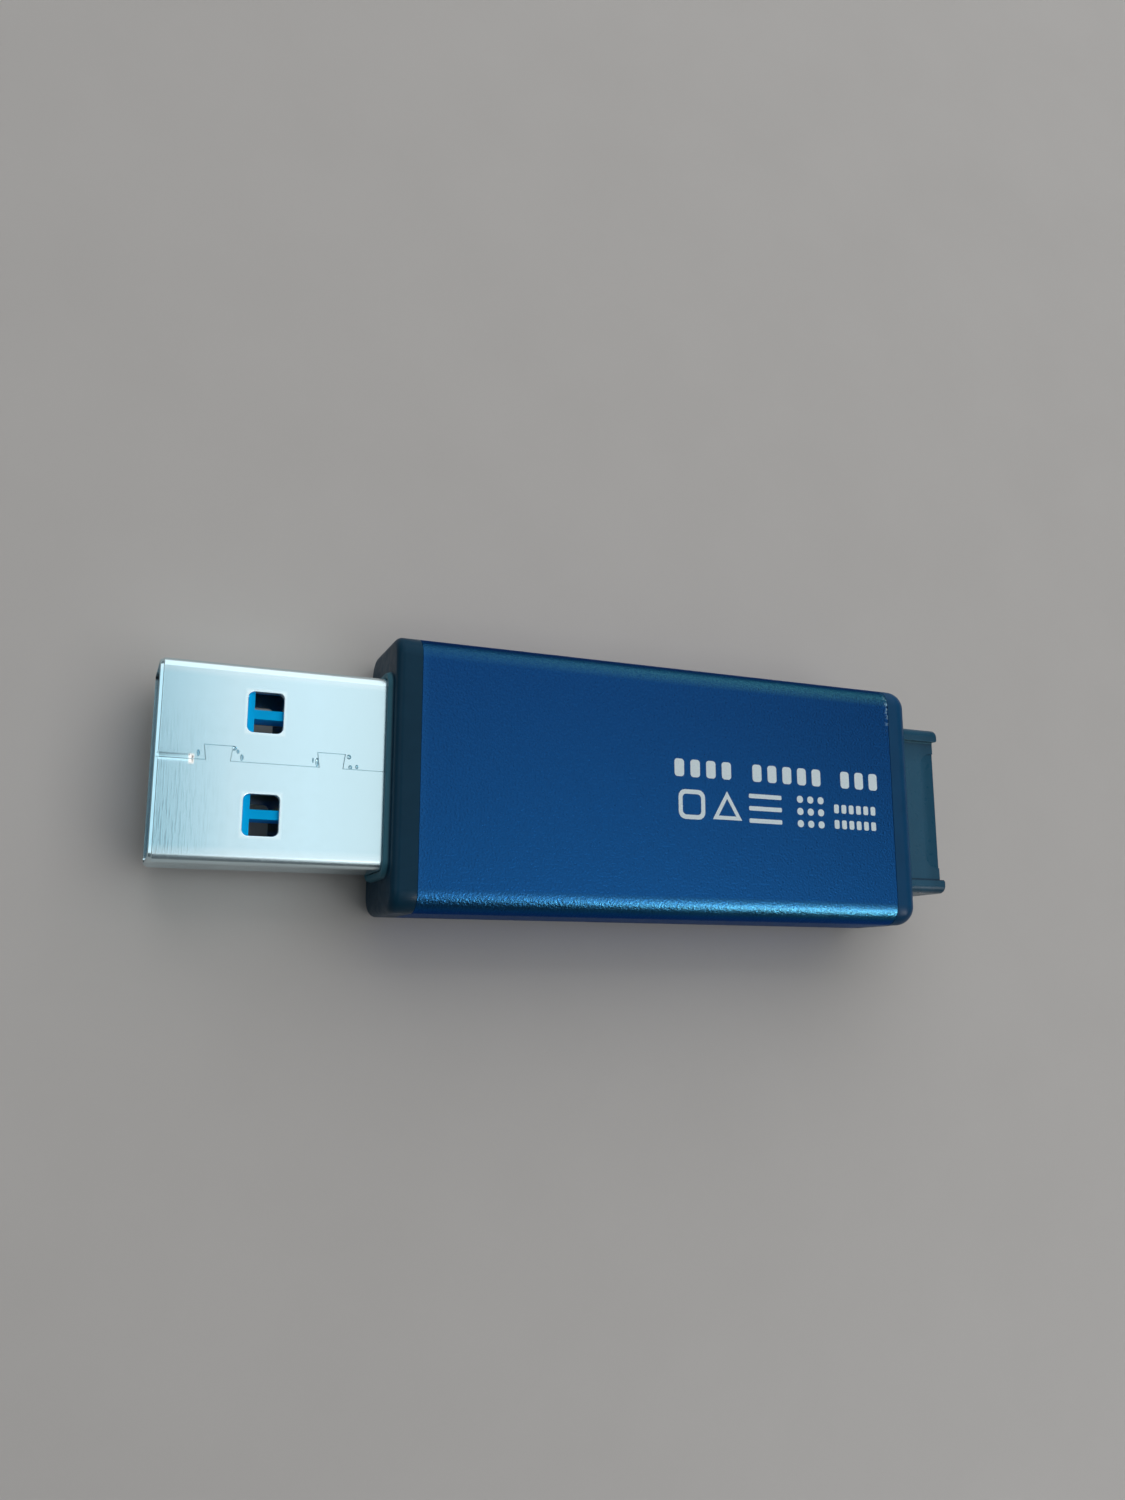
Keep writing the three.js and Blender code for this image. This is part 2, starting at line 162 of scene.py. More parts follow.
def prism(name, points, low, high, axis="z"):
    """A closed outline of points pushed from low to high along z, or along y with points (x, z), or along x
    with points (y, z)."""
    bm = bmesh.new()
    place = {
        "z": lambda p, h: (p[0], p[1], h),
        "y": lambda p, h: (p[0], h, p[1]),
        "x": lambda p, h: (h, p[0], p[1]),
    }[axis]
    lower = [bm.verts.new(place(p, low)) for p in points]
    upper = [bm.verts.new(place(p, high)) for p in points]
    bm.faces.new(lower)
    bm.faces.new(upper)
    bridge(bm, lower, upper)
    return mesh_object(name, bm)


def block(name, x, y, z):
    corners = [(x[0], y[0]), (x[1], y[0]), (x[1], y[1]), (x[0], y[1])]
    return prism(name, corners, z[0], z[1])


def dent(name, x, y, z, size):
    """An ellipsoid on (x, y, z), for a punched mark."""
    bm = bmesh.new()
    bmesh.ops.create_uvsphere(bm, u_segments=20, v_segments=12, radius=1)
    placed = Matrix.LocRotScale(Vector((x, y, z)), None, Vector(size))
    bmesh.ops.transform(bm, matrix=placed, verts=bm.verts)
    return mesh_object(name, bm)


def baked(obj):
    """The object's modifiers, applied."""
    bpy.context.view_layer.update()
    evaluated = obj.evaluated_get(bpy.context.evaluated_depsgraph_get())
    mesh = bpy.data.meshes.new_from_object(evaluated)
    obj.modifiers.clear()
    old = obj.data
    obj.data = mesh
    bpy.data.meshes.remove(old)
    return obj


def combined(obj, others, operation="DIFFERENCE"):
    """The object with the others cut away, joined on or kept in common. The others are used up."""
    for other in others:
        modifier = obj.modifiers.new("combine", "BOOLEAN")
        modifier.operation = operation
        modifier.solver = "EXACT"
        modifier.object = other
        baked(obj)
        bpy.data.objects.remove(other)
    return obj


def bevel_near(obj, width, chosen, segments=3):
    """Rounds the edges whose two ends are both chosen."""
    weights = obj.data.attributes.new("bevel_weight_edge", "FLOAT", "EDGE")
    vertices = obj.data.vertices
    for edge in obj.data.edges:
        if all(chosen(vertices[i].co) for i in edge.vertices):
            weights.data[edge.index].value = 1
    modifier = obj.modifiers.new("bevel", "BEVEL")
    modifier.width = width
    modifier.segments = segments
    modifier.limit_method = "WEIGHT"
    return baked(obj)


def bevelled(obj, width, segments=2, angle=30):
    modifier = obj.modifiers.new("bevel", "BEVEL")
    modifier.width = width
    modifier.segments = segments
    modifier.limit_method = "ANGLE"
    modifier.angle_limit = math.radians(angle)
    modifier.use_clamp_overlap = True
    return baked(obj)


def ribbon(line, width):
    """The closed outline of a line of (x, y) points drawn with a pen of that width."""
    points = [Vector(p) for p in line]
    normals = []
    for a, b in zip(points, points[1:]):
        along = (b - a).normalized()
        normals.append(Vector((-along.y, along.x)))
    left, right = [], []
    for i, point in enumerate(points):
        before, after = normals[max(i - 1, 0)], normals[min(i, len(normals) - 1)]
        mitre = (before + after).normalized()
        offset = mitre * (width / 2 / mitre.dot(before))
        left.append(point + offset)
        right.append(point - offset)
    return left + right[::-1]


def smoothed(obj, angle):
    """Shades the object smooth, with creases where its faces meet at more than angle in degrees."""
    for polygon in obj.data.polygons:
        polygon.use_smooth = True
    obj.data.set_sharp_from_angle(angle=math.radians(angle))
    modifier = obj.modifiers.new("normals", "WEIGHTED_NORMAL")
    modifier.keep_sharp = True
    return obj


def piece(obj, material, body="drive", stands_for=(), angle=32):
    """Puts a drawn piece into the CAD frame, with its material and body, smooth up to angle in degrees."""
    obj.data.transform(TO_FRAME)
    obj.data.materials.clear()
    obj.data.materials.append(material)
    smoothed(obj, angle)
    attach(obj, body)
    if stands_for:
        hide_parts(*stands_for)
    return obj


# ---------------------------------------------------------------- Material helpers


class Surface:
    """A principled material that is built up from procedural layers."""

    def __init__(self, name, color, roughness, metallic=0.0, **sockets):
        self.material = bpy.data.materials.new(name)
        self.material.use_nodes = True
        self.tree = self.material.node_tree
        self.shader = self.tree.nodes["Principled BSDF"]
        self.place = self.node("ShaderNodeTexCoord").outputs["Object"]
        self.color = color
        self.shader.inputs["Base Color"].default_value = (*color, 1)
        self.shader.inputs["Roughness"].default_value = roughness
        self.shader.inputs["Metallic"].default_value = metallic
        for socket, value in sockets.items():
            self.shader.inputs[socket.replace("_", " ")].default_value = value

    def node(self, kind, **values):
        made = self.tree.nodes.new(kind)
        for key, value in values.items():
            setattr(made, key, value)
        return made

    def link(self, source, target):
        self.tree.links.new(source, target)

    def noise(self, size, stretch=(1, 1, 1), turn=0.0, detail=2.0, roughness=0.5):
        """Noise with blobs about size millimetres across, drawn out by stretch and turned about z."""
        mapping = self.node("ShaderNodeMapping")
        mapping.inputs["Rotation"].default_value = (0, 0, math.radians(turn))
        mapping.inputs["Scale"].default_value = [1 / (size * MM * s) for s in stretch]
        noise = self.node("ShaderNodeTexNoise")
        noise.inputs["Scale"].default_value = 1
        noise.inputs["Detail"].default_value = detail
        noise.inputs["Roughness"].default_value = roughness
        self.link(self.place, mapping.inputs["Vector"])
        self.link(mapping.outputs["Vector"], noise.inputs["Vector"])
        return noise.outputs["Fac"]

    def mapped(self, value, low, high, to_low, to_high):
        """The value taken from the range low to high to the range to_low to to_high."""
        made = self.node("ShaderNodeMapRange")
        sockets = ("From Min", "From Max", "To Min", "To Max")
        for socket, number in zip(sockets, (low, high, to_low, to_high)):
            made.inputs[socket].default_value = number
        self.link(value, made.inputs["Value"])
        return made.outputs["Result"]

    def math(self, operation, a, b):
        made = self.node("ShaderNodeMath", operation=operation)
        for socket, value in zip(made.inputs, (a, b)):
            if isinstance(value, (int, float)):
                socket.default_value = value
            else:
                self.link(value, socket)
        return made.outputs["Value"]

    def axis(self, letter):
        """The x, y or z place on the drive, in metres of the CAD frame."""
        made = self.node("ShaderNodeSeparateXYZ")
        self.link(self.place, made.inputs["Vector"])
        return made.outputs[letter.upper()]

    def ramp(self, letter, start, end, low, high):
        """Goes from low at start to high at end, two places on the drive's long axis along x, y or z."""
        origin = getattr(ORIGIN, letter)
        return self.mapped(self.axis(letter), (origin + start) * MM, (origin + end) * MM, low, high)

    def away(self, letter, middle=0):
        """The distance from the middle along x, y or z, in metres."""
        offset = self.math("SUBTRACT", self.axis(letter), (getattr(ORIGIN, letter) + middle) * MM)
        return self.math("ABSOLUTE", offset, 0)

    def fade(self, distance, start, end, low, high):
        """Goes from low to high as a distance in metres goes from start to end in millimetres."""
        return self.mapped(distance, start * MM, end * MM, low, high)

    def product(self, *factors):
        total = factors[0]
        for factor in factors[1:]:
            total = self.math("MULTIPLY", total, factor)
        return total

    def tint(self, factor, color):
        """Mixes a second colour in where factor is high, over what is there already."""
        made = self.node("ShaderNodeMix", data_type="RGBA")
        self.link(factor, made.inputs["Factor"])
        base = self.shader.inputs["Base Color"]
        if base.is_linked:
            self.link(base.links[0].from_socket, made.inputs["A"])
        else:
            made.inputs["A"].default_value = base.default_value
        made.inputs["B"].default_value = (*color, 1)
        self.link(made.outputs["Result"], base)
        return self

    def rough(self, value):
        self.link(value, self.shader.inputs["Roughness"])
        return self

    def bump(self, height, distance):
        """Raises the surface by height times distance millimetres, over the bumps that are there already."""
        made = self.node("ShaderNodeBump")
        made.inputs["Distance"].default_value = distance * MM
        self.link(height, made.inputs["Height"])
        normal = self.shader.inputs["Normal"]
        if normal.is_linked:
            self.link(normal.links[0].from_socket, made.inputs["Normal"])
        self.link(made.outputs["Normal"], normal)
        return self


# ---------------------------------------------------------------- Materials


def blasted_blue():
    """Anodised aluminium on a fine blasted grain; painted light pales it towards the near side, and a painted
    highlight pales its front joint.
    """
    blue, near, pale_grain_and_highlight = (0.003, 0.037, 0.132), (0.0045, 0.058, 0.187), (0.007, 0.062, 0.19)
    surface = Surface("anodised blue", blue, 0.27, metallic=1.0, Coat_Weight=0.05, Coat_Roughness=0.3)
    surface.shader.inputs["Specular Tint"].default_value = (0.25, 0.42, 0.75, 1)
    grain = surface.noise(0.15, detail=3)
    # painted light: the top paler towards the near side, where the light falls
    surface.tint(surface.ramp("y", -6, 9, 0, 1), near)
    surface.tint(surface.mapped(grain, 0.45, 0.65, 0, 0.35), pale_grain_and_highlight)
    # painted highlight: a pale band along the front joint
    surface.tint(surface.ramp("x", SLEEVE_HIGH.x - 0.55, SLEEVE_HIGH.x, 0, 0.5), pale_grain_and_highlight)
    worn_and_highlit_edges(surface)
    rear_specks(surface)
    surface.rough(surface.mapped(grain, 0.3, 0.7, 0.27, 0.33))
    surface.bump(grain, 0.034)
    return surface.material


def worn_and_highlit_edges(surface):
    """Pales the sleeve's long edges, partly as wear and partly as a painted highlight, more towards the rear,
    with painted glints.
    """
    wear_and_highlight, bright = (0.015, 0.077, 0.120), (0.038, 0.155, 0.205)
    half_width, half_height, _ = BODY
    # wear and painted highlight on the long edges, stronger towards the rear
    painted_highlight = surface.product(
        surface.fade(surface.away("y"), half_width - 1.5, half_width - 0.6, 0, 1),
        surface.fade(surface.away("z"), half_height - 0.6, half_height - 0.15, 0, 1),
        surface.ramp("x", SLEEVE_LOW.x + 8, SLEEVE_HIGH.x, 1, 0.3),
    )
    surface.tint(painted_highlight, wear_and_highlight)
    # painted glints in the edge highlight
    painted_glints = surface.mapped(surface.noise(0.08, detail=1), 0.42, 0.6, 0, 0.85)
    surface.tint(surface.product(painted_highlight, painted_glints), bright)


def rear_specks(surface):
    """Bares specks of metal at the rear joint, at the far corner of the top."""
    bare, back, top = (0.25, 0.42, 0.52), SLEEVE_LOW.x, BODY[1]
    joint = surface.product(
        surface.ramp("x", back, back + 0.35, 1, 0),
        surface.ramp("y", -5, -6.5, 0, 1),
        surface.ramp("z", top - 1, top - 0.4, 0, 1),
    )
    specks = surface.mapped(surface.noise(0.3, detail=2), 0.48, 0.6, 0, 0.85)
    surface.tint(surface.product(joint, specks), bare)


def satin_plastic(name, color, dark, roughness, gloss):
    """The surface of satin moulded plastic."""
    surface = Surface(name, color, roughness, Specular_IOR_Level=gloss)
    surface.tint(surface.mapped(surface.noise(1.6, detail=4), 0.4, 0.7, 0, 0.6), dark)
    surface.rough(surface.mapped(surface.noise(0.5, detail=3), 0.3, 0.7, roughness - 0.05, roughness + 0.07))
    surface.bump(surface.noise(0.09, detail=2), 0.003)
    return surface


def dark_trim():
    """The bezel's plastic, with a painted highlight that pales the collar."""
    surface = satin_plastic("dark trim", (0.0075, 0.046, 0.086), (0.0055, 0.038, 0.073), 0.33, 0.06)
    face = BEZEL_HIGH.x - COLLAR
    # painted highlight on the collar
    surface.tint(surface.ramp("x", face + 0.02, face + 0.12, 0, 1), (0.05, 0.18, 0.25))
    return surface.material


def dark_ring():
    return satin_plastic("dark ring", (0.007, 0.069, 0.17), (0.006, 0.058, 0.145), 0.33, 0.07).material


def slate_post():
    """The post's plastic, with painted shade on the slope at the panel's end, towards the far side and at the
    foot of one arm, and a painted highlight on the other arm's inner edge."""
    slope, far = (0.006, 0.070, 0.130), (0.003, 0.060, 0.115)
    foot, painted_highlight = (0.001, 0.025, 0.06), (0.06, 0.20, 0.28)
    surface = satin_plastic("slate post", (0.018, 0.104, 0.182), (0.015, 0.090, 0.160), 0.3, 0.17)
    panel_end, inside = POST_LOW.x + PANEL_IN, POST[0] - ARM
    # painted shade on the slope at the panel's end
    surface.tint(surface.ramp("x", panel_end + 1.3, panel_end + 0.6, 0, 0.75), slope)
    # painted shade: darker towards the far side
    surface.tint(surface.ramp("y", -3.5, -5.5, 0, 0.6), far)
    # painted shade at the foot of the near arm's inner step
    surface.tint(surface.fade(surface.away("y", inside - 0.02), 0.05, 0.11, 0.7, 0), foot)
    # painted highlight on the far arm's inner edge
    surface.tint(surface.fade(surface.away("y", 0.06 - inside), 0.05, 0.1, 0.8, 0), painted_highlight)
    return surface.material


def black_carrier():
    return satin_plastic("black carrier", (0.02, 0.021, 0.023), (0.014, 0.015, 0.016), 0.55, 0.4).material


def plated_steel():
    """Nickel plated stamping with drawn grain, and fine marks across it from use near the tip."""
    surface = Surface("plated steel", (0.56, 0.775, 0.86), 0.24, metallic=1.0)
    near_tip = surface.ramp("x", -4.5, -0.4, 0, 1)
    used = surface.product(near_tip, surface.ramp("y", -4, 4, 0.1, 1))
    grain = surface.noise(0.1, stretch=(1, 11, 11), turn=7, detail=2)
    marks = surface.product(surface.mapped(grain, 0.5, 0.7, 0, 1), used)
    # painted shade: the plug greyer and bluer towards the tip, more on its near side
    surface.tint(surface.product(near_tip, 0.5), (0.40, 0.73, 0.88))
    surface.tint(surface.product(used, 0.35), (0.30, 0.58, 0.70))
    surface.tint(surface.ramp("x", -13.4, -9, 0.5, 0), (0.46, 0.62, 0.66))
    surface.tint(surface.product(marks, 0.45), (0.28, 0.52, 0.62))
    # painted highlight: the plug paler towards its long bends
    surface.tint(surface.fade(surface.away("y"), 5, 5.9, 0, 0.7), (0.80, 0.93, 0.97))
    window_rims(surface)
    painted_inner_shade(surface)
    seam_shade_and_highlight(surface)
    surface.rough(surface.mapped(surface.noise(0.5, detail=3), 0.3, 0.7, 0.235, 0.26))
    surface.bump(marks, 0.0015)
    return surface.material


def window_rims(surface):
    """Paints a highlight on the rolled rims of the plug's windows."""
    half_length, half_width, _ = WINDOW
    from_middle = surface.math("SUBTRACT", surface.away("y"), WINDOW_Y * MM)
    aside = surface.math("SUBTRACT", surface.math("ABSOLUTE", from_middle, 0), half_width * MM)
    along = surface.math("SUBTRACT", surface.away("x", -WINDOW_D), half_length * MM)
    rim = surface.math("MAXIMUM", aside, along)
    # painted highlight round each window
    surface.tint(surface.fade(rim, 0.02, 0.24, 0.45, 0), (0.82, 0.95, 0.98))


def painted_inner_shade(surface):
    """Paints shade on the faces of the plug's inside, which are bright steel."""
    half_width, half_height = SHELL[0] - SHELL_WALL, SHELL[1] - SHELL_WALL
    inside = surface.product(
        surface.fade(surface.away("z"), half_height - 0.01, half_height + 0.01, 1, 0),
        surface.fade(surface.away("y"), half_width - 0.01, half_width + 0.02, 1, 0),
        0.93,
    )
    # painted shade inside the plug
    surface.tint(inside, (0.02, 0.022, 0.028))


def seam_shade_and_highlight(surface):
    """Paints shade into the hollows pressed into the plug's top along its middle, and a highlight on the
    furrow's end.
    """
    top, wide = SHELL[1], surface.away("y")
    # painted shade in the seam, furrow and marks, below a little under the top
    painted_hollow_shade = surface.product(
        surface.ramp("z", top - 0.055, top - 0.085, 0, 1),
        surface.ramp("z", top - 0.24, top - 0.2, 0, 1),
        surface.fade(wide, TAB_DEPTH + 0.1, TAB_DEPTH + 0.2, 1, 0),
        surface.ramp("x", -2.4, -0.3, 0.2, 0.65),
        surface.ramp("x", -0.27, -0.25, 1, 0),
    )
    surface.tint(painted_hollow_shade, (0.10, 0.17, 0.19))
    # painted highlight on the furrow's end
    painted_furrow_highlight = surface.product(
        surface.fade(surface.away("x", -FURROW_END), 0.1, 0.2, 1, 0),
        surface.fade(wide, 0.22, 0.36, 1, 0),
        surface.ramp("z", top - 0.15, top - 0.1, 0, 1),
    )
    surface.tint(painted_furrow_highlight, (0.96, 0.98, 0.96))


def moulded_blue():
    surface = Surface("moulded light blue", (0.0, 0.49, 0.98), 0.42, Specular_IOR_Level=0.9)
    surface.shader.inputs["Specular Tint"].default_value = (0.02, 0.4, 1, 1)
    surface.tint(surface.mapped(surface.noise(0.8, detail=3), 0.4, 0.7, 0, 0.5), (0.0, 0.45, 0.93))
    surface.rough(surface.mapped(surface.noise(0.3), 0.3, 0.7, 0.36, 0.5))
    surface.bump(surface.noise(0.08), 0.003)
    return surface.material


def gold_plate():
    surface = Surface("gold flash", (0.83, 0.60, 0.26), 0.28, metallic=1.0)
    surface.tint(surface.mapped(surface.noise(0.6, detail=2), 0.4, 0.7, 0, 0.4), (0.74, 0.50, 0.2))
    surface.rough(surface.mapped(surface.noise(0.2, stretch=(8, 1, 1)), 0.3, 0.7, 0.26, 0.32))
    surface.bump(surface.noise(0.1, stretch=(12, 1, 1)), 0.0005)
    return surface.material


def solder_mask():
    surface = Surface("solder mask", (0.01, 0.09, 0.035), 0.3, Coat_Weight=0.4, Coat_Roughness=0.2)
    traces = surface.noise(0.35, stretch=(6, 1, 1), detail=0)
    surface.tint(surface.mapped(traces, 0.52, 0.55, 0, 1), (0.02, 0.16, 0.06))
    surface.rough(surface.mapped(surface.noise(0.4), 0.3, 0.7, 0.26, 0.36))
    surface.bump(surface.mapped(traces, 0.52, 0.55, 0, 1), 0.02)
    return surface.material


def moulded_package():
    surface = Surface("moulded epoxy", (0.018, 0.018, 0.02), 0.55)
    surface.tint(surface.mapped(surface.noise(0.15, detail=4), 0.4, 0.7, 0, 1), (0.03, 0.03, 0.032))
    surface.rough(surface.mapped(surface.noise(0.2), 0.3, 0.7, 0.48, 0.62))
    surface.bump(surface.noise(0.06), 0.006)
    return surface.material


def fired_ceramic():
    surface = Surface("fired ceramic", (0.42, 0.27, 0.13), 0.45)
    surface.tint(surface.mapped(surface.noise(0.2, detail=3), 0.4, 0.7, 0, 1), (0.34, 0.2, 0.09))
    surface.rough(surface.mapped(surface.noise(0.2), 0.3, 0.7, 0.38, 0.52))
    surface.bump(surface.noise(0.08), 0.004)
    return surface.material


def satin_can():
    surface = Surface("satin can", (0.6, 0.61, 0.62), 0.3, metallic=1.0)
    surface.tint(surface.mapped(surface.noise(0.5, detail=3), 0.4, 0.7, 0, 0.6), (0.52, 0.53, 0.55))
    surface.rough(surface.mapped(surface.noise(0.3, stretch=(6, 1, 1)), 0.3, 0.7, 0.24, 0.38))
    surface.bump(surface.noise(0.06, stretch=(10, 1, 1)), 0.002)
    return surface.material


def white_ink():
    surface = Surface("white ink", (0.78, 0.91, 0.96), 0.5)
    surface.tint(surface.mapped(surface.noise(0.12, detail=4), 0.5, 0.75, 0, 0.6), (0.60, 0.78, 0.86))
    surface.rough(surface.mapped(surface.noise(0.2), 0.3, 0.7, 0.45, 0.6))
    surface.bump(surface.noise(0.1), 0.003)
    return surface.material


BLUE = blasted_blue()
TRIM = dark_trim()
RING = dark_ring()
POST_PLASTIC = slate_post()
CARRIER = black_carrier()
STEEL = plated_steel()
TONGUE = moulded_blue()
GOLD = gold_plate()
BOARD = solder_mask()
PACKAGE = moulded_package()
CERAMIC = fired_ceramic()
CAN = satin_can()
INK = white_ink()

# ---------------------------------------------------------------- Casing


def body_sleeve():
    front, back, edge = SLEEVE_HIGH.x, SLEEVE_LOW.x, 0.04
    stations = [
        *arc(front, BODY, edge, 0, 90, steps=3),
        *arc(back, BODY, edge, 90, 0, steps=3, facing=-1),
        (back, BORE),
        (front, BORE),
    ]
    piece(loft("sleeve", stations, closed=True), BLUE, stands_for=["body_sleeve"])


def front_bezel():
    """Socket wall, collar, rounded flange, and the hollow spigot inside the sleeve."""
    collar_face, face, back = BEZEL_HIGH.x, BEZEL_HIGH.x - COLLAR, SLEEVE_HIGH.x + JOINT
    fillet, rim, lip, joint, taper = 0.5, 0.5, 0.09, 0.012, 0.1
    socket = grown(SHELL, FIT)
    collar = (SHELL[0] + rim, SHELL[1] + rim, SHELL[2] + rim)
    wall_back = SLEEVE_HIGH.x - 0.07
    bay = (7.0, 2.4, 0.5)
    stations = [
        (wall_back, socket),
        (collar_face - lip, socket),
        (collar_face - lip / 3, grown(socket, lip / 4)),
        (collar_face, grown(socket, lip)),
        *arc(collar_face, grown(collar, -taper), lip, 0, 90, steps=4),
        (face, collar),
        *arc(face, BODY, fillet, 0, 90, steps=8),
        *arc(back, BODY, joint, 90, 0, steps=2, facing=-1),
        (back, SPIGOT),
        (BEZEL_LOW.x, SPIGOT),
        (BEZEL_LOW.x, bay),
        (wall_back, bay),
    ]
    piece(loft("bezel", stations, closed=True), TRIM, stands_for=["front_bezel"])


def rear_ring():
    front, back, fillet, joint, lip = SLEEVE_LOW.x - JOINT, RING_LOW.x, 1.2, 0.012, 0.08
    socket = grown(POST, FIT)
    bay = (7.0, 2.5, 0.5)
    bay_back = front + FLANGE_IN
    stations = [
        (RING_HIGH.x, SPIGOT),
        (front, SPIGOT),
        *arc(front, BODY, joint, 0, 90, steps=2),
        *arc(back, BODY, fillet, 90, 0, steps=12, facing=-1),
        (back, grown(socket, lip)),
        (back + lip / 3, grown(socket, lip / 4)),
        (back + lip, socket),
        (bay_back, socket),
        (bay_back, bay),
        (RING_HIGH.x, bay),
    ]
    piece(loft("ring", stations, closed=True), RING, stands_for=["rear_ring"])


def cap_post():
    """Two arms and the lower panel between them, whose end slopes off above and below."""
    end, flange_back, panel_end = POST_LOW.x, SLEEVE_LOW.x + FLANGE_IN, POST_LOW.x + PANEL_IN
    flange, edge, recess, chamfer, far = (6.8, 2.4, 0.5), 0.22, 0.28, 0.2, 3
    inside, face = POST[0] - ARM, POST[1] - recess
    stations = [
        (POST_HIGH.x, flange),
        (flange_back, flange),
        (flange_back, POST),
        *arc(end, POST, edge, 90, 0, steps=5, facing=-1),
    ]
    post = loft("post", stations, closed=False)
    cutters = [block("notch", (end - far, panel_end), (-inside, inside), (-far, far))]
    for side in (-1, 1):
        depth = sorted((side * face, side * far))
        cutters.append(block("recess", (end - far, flange_back), (-inside, inside), depth))
        corner = [(end + edge, side * inside), (end - 1, side * inside), (end - 1, side * (inside + chamfer)),
                  (end, side * (inside + chamfer))]
        cutters.append(prism("corner", corner, -far, far))
        cutters.append(slope_cutter(side, face, panel_end))
    combined(post, cutters)
    bevelled(post, 0.09, segments=3)
    piece(post, POST_PLASTIC, stands_for=["cap_post"])


def slope_cutter(side, face, panel_end):
    """What slopes the panel's end off: a flat ramp seen from the side, with round corners seen from above."""
    length, depth, half_width, corner, corner_steps = 1.15, 0.09, 4.3, 0.9, 6
    start, past = panel_end + length, panel_end - 1
    high, low = side * (face + 1), side * (face - depth)
    side_view = [(start, high), (start, side * face), (panel_end, low), (past, low), (past, high)]
    cutter = prism("slope", side_view, -half_width, half_width, axis="y")
    plan = [(past, half_width)]
    for sign in (1, -1):
        for step in range(corner_steps + 1):
            turned = 90 * step / corner_steps
            angle = math.radians(turned if sign > 0 else 90 - turned)
            x = start - corner + corner * math.sin(angle)
            plan.append((x, sign * (half_width - corner + corner * math.cos(angle))))
    plan.append((past, -half_width))
    return combined(cutter, [prism("plan", plan, -4, 4)], "INTERSECT")


# ---------------------------------------------------------------- Plug


def seam_line():
    """The seam from the tip to the shell's back, round its two dovetail tabs."""
    dovetail = 0.12
    line = [(1, 0)]
    for front, back in SEAM_TABS:
        line += [
            (-front, 0),
            (-front + dovetail, -TAB_DEPTH),
            (-back - dovetail, -TAB_DEPTH),
            (-back, 0),
        ]
    return line + [(SHELL_LOW.x - 1, 0)]


def plug_shell():
    """The stamping: a tube with windows above and below, and behind it a roof with a leg on each side."""
    top, half_width, back = SHELL[1], SHELL[0], SHELL_LOW.x
    tube_back, roof_foot, mouth_bevel = -15.2, 0.05, 0.04
    lip = [(0, 0.2), (0.01, 0.165), (0.05, 0.12), (0.2, 0.06), (0.21, 0.054), (0.25, 0.006), (0.27, 0)]
    stations = [(-d, grown(SHELL, -inset)) for d, inset in lip]
    shell = loft("shell", stations + [(back, SHELL)], closed=False)
    inner = grown(SHELL, -SHELL_WALL)
    mouth = grown(inner, mouth_bevel)
    hollow = loft("hollow", [(1, mouth), (0, mouth), (-0.3, inner), (back - 1, inner)], closed=False)
    behind = block("below the roof", (back - 1, tube_back), (-7, 7), (-3, roof_foot))
    seam = prism("seam", ribbon(seam_line(), 0.05), top - 0.13, top + 1)
    combined(shell, [hollow, behind, seam, *window_cutters()])
    bevel_near(shell, 0.09, at_window)
    stamp_top(shell)
    legs = []
    for side in (-1, 1):
        wall = sorted((side * half_width, side * (half_width - SHELL_WALL)))
        legs.append(block("leg", (-17.4, -16.2), wall, (-1.5, 0.3)))
    combined(shell, legs, "UNION")
    piece(shell, STEEL, stands_for=["plug_shell"], angle=13)


def window_cutters():
    half_length, half_width, corner = WINDOW
    near, far = SHELL[1] - 2 * SHELL_WALL, SHELL[1] + 1
    cutters = []
    for side in (-1, 1):
        middle = Vector((-WINDOW_D, side * WINDOW_Y))
        window = [middle + p for p in outline(half_length, half_width, corner, steps=6)]
        cutters.append(prism("window", window, near, far))
        cutters.append(prism("window", window, -far, -near))
    return cutters


def at_window(point):
    """Whether a corner of the shell's mesh is on a window's outer rim."""
    along, aside = abs(point.x + WINDOW_D), abs(abs(point.y) - WINDOW_Y)
    return along < WINDOW[0] + 0.2 and aside < WINDOW[1] + 0.12 and abs(point.z) > SHELL[1] - 0.01


def stamp_top(shell):
    """Presses the furrow that runs in from the tip and the punched marks by the seam into the plug's top."""
    top, far_side, bottom, near_side, depth = SHELL[1], -0.5, -0.2, 0.33, 0.1
    furrow = [(far_side, top), (bottom, top - depth), (near_side, top)]
    furrow += [(near_side, top + 1), (far_side, top + 1)]
    combined(shell, [prism("furrow", furrow, 0.1 - FURROW_END, 1, axis="x")])
    combined(shell, [dent("furrow end", -FURROW_END, 0, top + 0.08, (0.24, 0.4, 0.1))])
    marks = [  # back from the tip, across, half length, half width
        (2.42, -0.37, 0.09, 0.2), (4.43, -0.78, 0.14, 0.14), (4.64, -0.6, 0.09, 0.13),
        (4.88, -0.26, 0.1, 0.2), (9.03, -0.4, 0.05, 0.17), (9.28, -0.3, 0.1, 0.28),
        (11.2, -0.76, 0.14, 0.15), (11.3, -0.12, 0.12, 0.15), (11.7, -0.18, 0.1, 0.14),
    ]
    dents = [dent("mark", -d, y, top + 0.035, (length, width, 0.18)) for d, y, length, width in marks]
    combined(shell, dents)


SPRING_Y = [-4, -2, 0, 2, 4]
FLAT_CONTACTS = {  # side, pad y, neck y, front
    "power_contact": (1, 3.5, 3, 1.8),
    "data_minus_contact": (1, 1, 1, 2.6),
    "data_plus_contact": (-1, 1, 1, 2.6),
    "ground_contact": (-1, 3.5, 3, 1.8),
}


